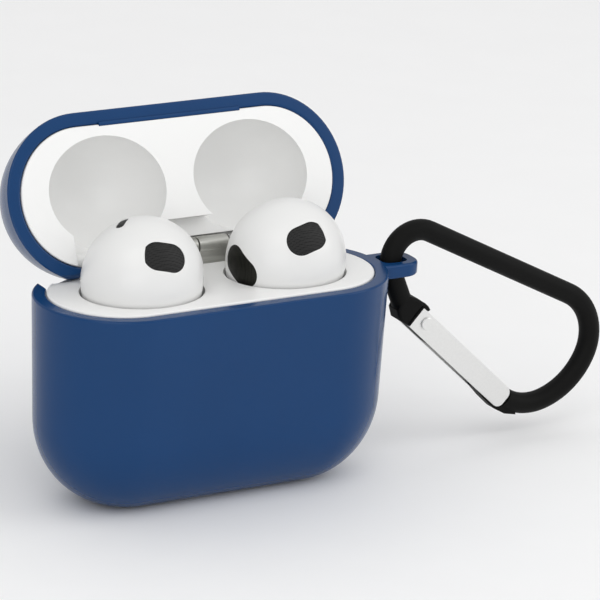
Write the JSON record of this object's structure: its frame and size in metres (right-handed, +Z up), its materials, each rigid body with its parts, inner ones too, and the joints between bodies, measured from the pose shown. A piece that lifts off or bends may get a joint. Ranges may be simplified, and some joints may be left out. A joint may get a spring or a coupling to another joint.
{
  "type": "wireless earbuds case",
  "caption": "Hinged charging case for a pair of wireless earbuds, in a glossy two-piece cover with a loop and a spring-gate carabiner.",
  "frame": {"origin": "centre of the flat face that the case stands on, at the middle of the charging cut-out", "axes": "+X to the carabiner end, -Y the front, +Z up"},
  "size_m": [0.1014, 0.0414, 0.0571],
  "materials": {
    "cover_blue": "smooth gloss, navy blue",
    "case_white": "polished white",
    "bud_white": "polished white",
    "hinge_steel": "satin",
    "spring_steel": "drawn wire",
    "light_guide": "clear",
    "circuit_board": "solder mask",
    "port_metal": "satin",
    "inner_plastic": "moulded black",
    "cell_wrap": "film wrap",
    "copper": "enamelled wire",
    "ferrite": "sheet",
    "flex_film": "polyimide film",
    "magnet": "nickel plate",
    "carabiner_black": "satin black",
    "gate_metal": "polished",
    "contact_gold": "plated",
    "speaker_mesh": "fine black mesh",
    "vent_mesh": "fine black mesh",
    "driver_metal": "satin"
  },
  "bodies": {
    "case": {"cover_body": "cover_blue", "case_body_shell": "case_white", "dock_insert": "case_white", "hinge_bracket": "hinge_steel", "hinge_pin": "hinge_steel", "hinge_spring": "spring_steel", "status_light_guide": "light_guide", "main_board": "circuit_board", "charge_port": "port_metal", "port_tongue": "inner_plastic", "battery_cell": "cell_wrap", "charging_coil": "copper", "coil_ferrite": "ferrite", "contact_block_left": "inner_plastic", "contact_block_right": "inner_plastic", "contact_flex": "flex_film", "body_magnets": "magnet", "button_switch": "inner_plastic"},
    "lid": {"cover_lid": "cover_blue", "case_lid_shell": "case_white", "lid_liner": "case_white", "hinge_leaf": "hinge_steel", "lid_magnets": "magnet"},
    "carabiner": {"carabiner_frame": "carabiner_black", "gate_rivet": "gate_metal"},
    "gate": {"carabiner_gate": "gate_metal", "gate_spring": "spring_steel"},
    "button": {"pair_button": "case_white"},
    "contacts_left": {"contact_pins_left": "contact_gold"},
    "contacts_right": {"contact_pins_right": "contact_gold"},
    "bud_left": {"bud_left_front_shell": "bud_white", "bud_left_stem_shell": "bud_white", "bud_left_speaker_mesh": "speaker_mesh", "bud_left_front_vent": "vent_mesh", "bud_left_top_vent": "vent_mesh", "bud_left_tip_contact": "port_metal", "bud_left_driver": "driver_metal", "bud_left_cell": "cell_wrap", "bud_left_board": "circuit_board"},
    "bud_right": {"bud_right_front_shell": "bud_white", "bud_right_stem_shell": "bud_white", "bud_right_speaker_mesh": "speaker_mesh", "bud_right_front_vent": "vent_mesh", "bud_right_top_vent": "vent_mesh", "bud_right_tip_contact": "port_metal", "bud_right_driver": "driver_metal", "bud_right_cell": "cell_wrap", "bud_right_board": "circuit_board"}
  },
  "joints": [
    {"name": "lid_hinge", "type": "hinge", "parent": "case", "child": "lid", "pos_m": [0, 0.00949, 0.03581], "axis": [1, 0, 0], "range_deg": [0, 113.36]},
    {"name": "bud_left_lift", "type": "slide", "parent": "case", "child": "bud_left", "axis": [0, 0, 1], "range_m": [0, 0.04]},
    {"name": "bud_right_lift", "type": "slide", "parent": "case", "child": "bud_right", "axis": [0, 0, 1], "range_m": [0, 0.04]},
    {"name": "carabiner_swing", "type": "hinge", "parent": "case", "child": "carabiner", "pos_m": [0.0363, -0.0006, 0.0326], "axis": [0, 1, 0], "range_deg": [-19, 24]},
    {"name": "gate_hinge", "type": "hinge", "parent": "carabiner", "child": "gate", "pos_m": [0.03777, -0.0006, 0.02219], "axis": [0, -1, 0], "range_deg": [0, 25], "stiffness_Nm_per_rad": 0.02, "springref_deg": -17.19},
    {"name": "pair_button_press", "type": "slide", "parent": "case", "child": "button", "axis": [0, -1, 0], "range_m": [0, 0.0004], "stiffness_N_per_m": 400, "springref_m": -0.0002},
    {"name": "contacts_left_press", "type": "slide", "parent": "case", "child": "contacts_left", "axis": [0, 0, -1], "range_m": [0, 0.0004], "stiffness_N_per_m": 400, "springref_m": -0.0002},
    {"name": "contacts_right_press", "type": "slide", "parent": "case", "child": "contacts_right", "axis": [0, 0, -1], "range_m": [0, 0.0004], "stiffness_N_per_m": 400, "springref_m": -0.0002}
  ]
}
